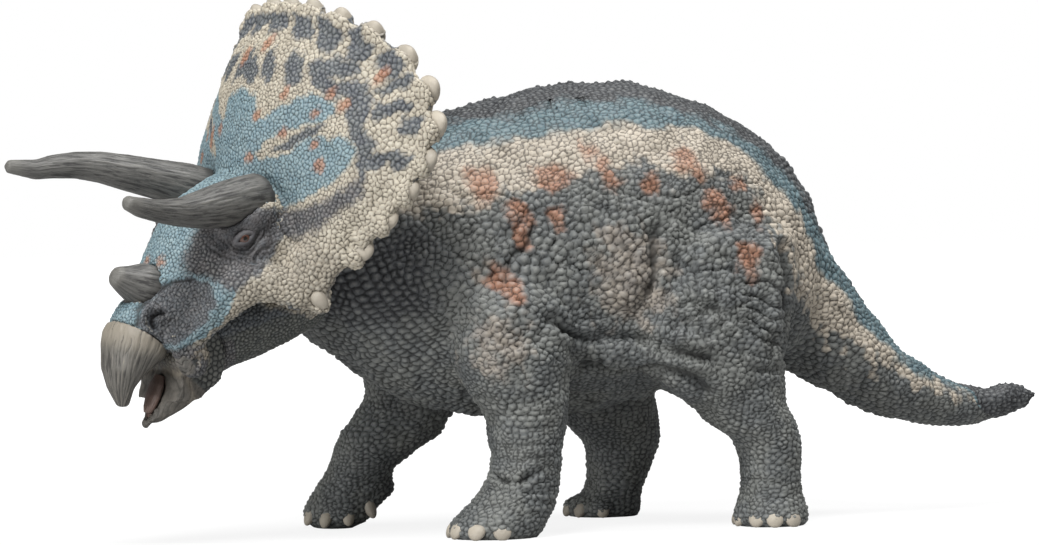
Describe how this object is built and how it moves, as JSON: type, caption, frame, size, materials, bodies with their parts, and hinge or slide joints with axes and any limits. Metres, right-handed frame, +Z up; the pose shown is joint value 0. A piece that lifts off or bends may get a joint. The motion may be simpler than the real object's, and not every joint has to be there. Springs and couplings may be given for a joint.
{
  "type": "toy dinosaur figure",
  "caption": "Standing toy figure of a horned dinosaur: frilled head turned aside, long brow horns, open hinged lower jaw, scaly trunk, walking legs and a low tail.",
  "frame": {"origin": "middle of the bounding box seen from above, on the ground under the feet", "axes": "+Z up; the animal's trunk lies along X and looks towards -X; its left side is towards -Y; the head is turned to its left"},
  "size_m": [0.2574, 0.0884, 0.1241],
  "materials": {
    "trunk_skin": "hand painted, satin",
    "tail_skin": "hand painted, satin",
    "head_skin": "hand painted, satin",
    "leg_skin": "hand painted, satin",
    "jaw_skin": "hand painted, satin",
    "beak": "painted with a dry brushed grain",
    "horn": "painted with a dry brushed grain",
    "eye": "gloss",
    "tongue": "semi gloss",
    "pin": "painted over"
  },
  "bodies": {
    "figure": {"torso": "trunk_skin", "tail": "tail_skin", "head_shell": "head_skin", "upper_beak": "beak", "nose_horn": "horn", "brow_horn_left": "horn", "brow_horn_right": "horn", "eye_left": "eye", "eye_right": "eye", "jaw_hinge_pin": "pin", "front_left_leg": "leg_skin", "front_right_leg": "leg_skin", "hind_left_leg": "leg_skin", "hind_right_leg": "leg_skin"},
    "lower_jaw": {"lower_jaw": "jaw_skin", "tongue": "tongue"}
  },
  "joints": [
    {"name": "jaw_hinge", "type": "hinge", "parent": "figure", "child": "lower_jaw", "pos_m": [-0.09459, -0.00881, 0.04337], "axis": [-0.2631, 0.9636, 0.0474], "range_deg": [0, 20]}
  ]
}
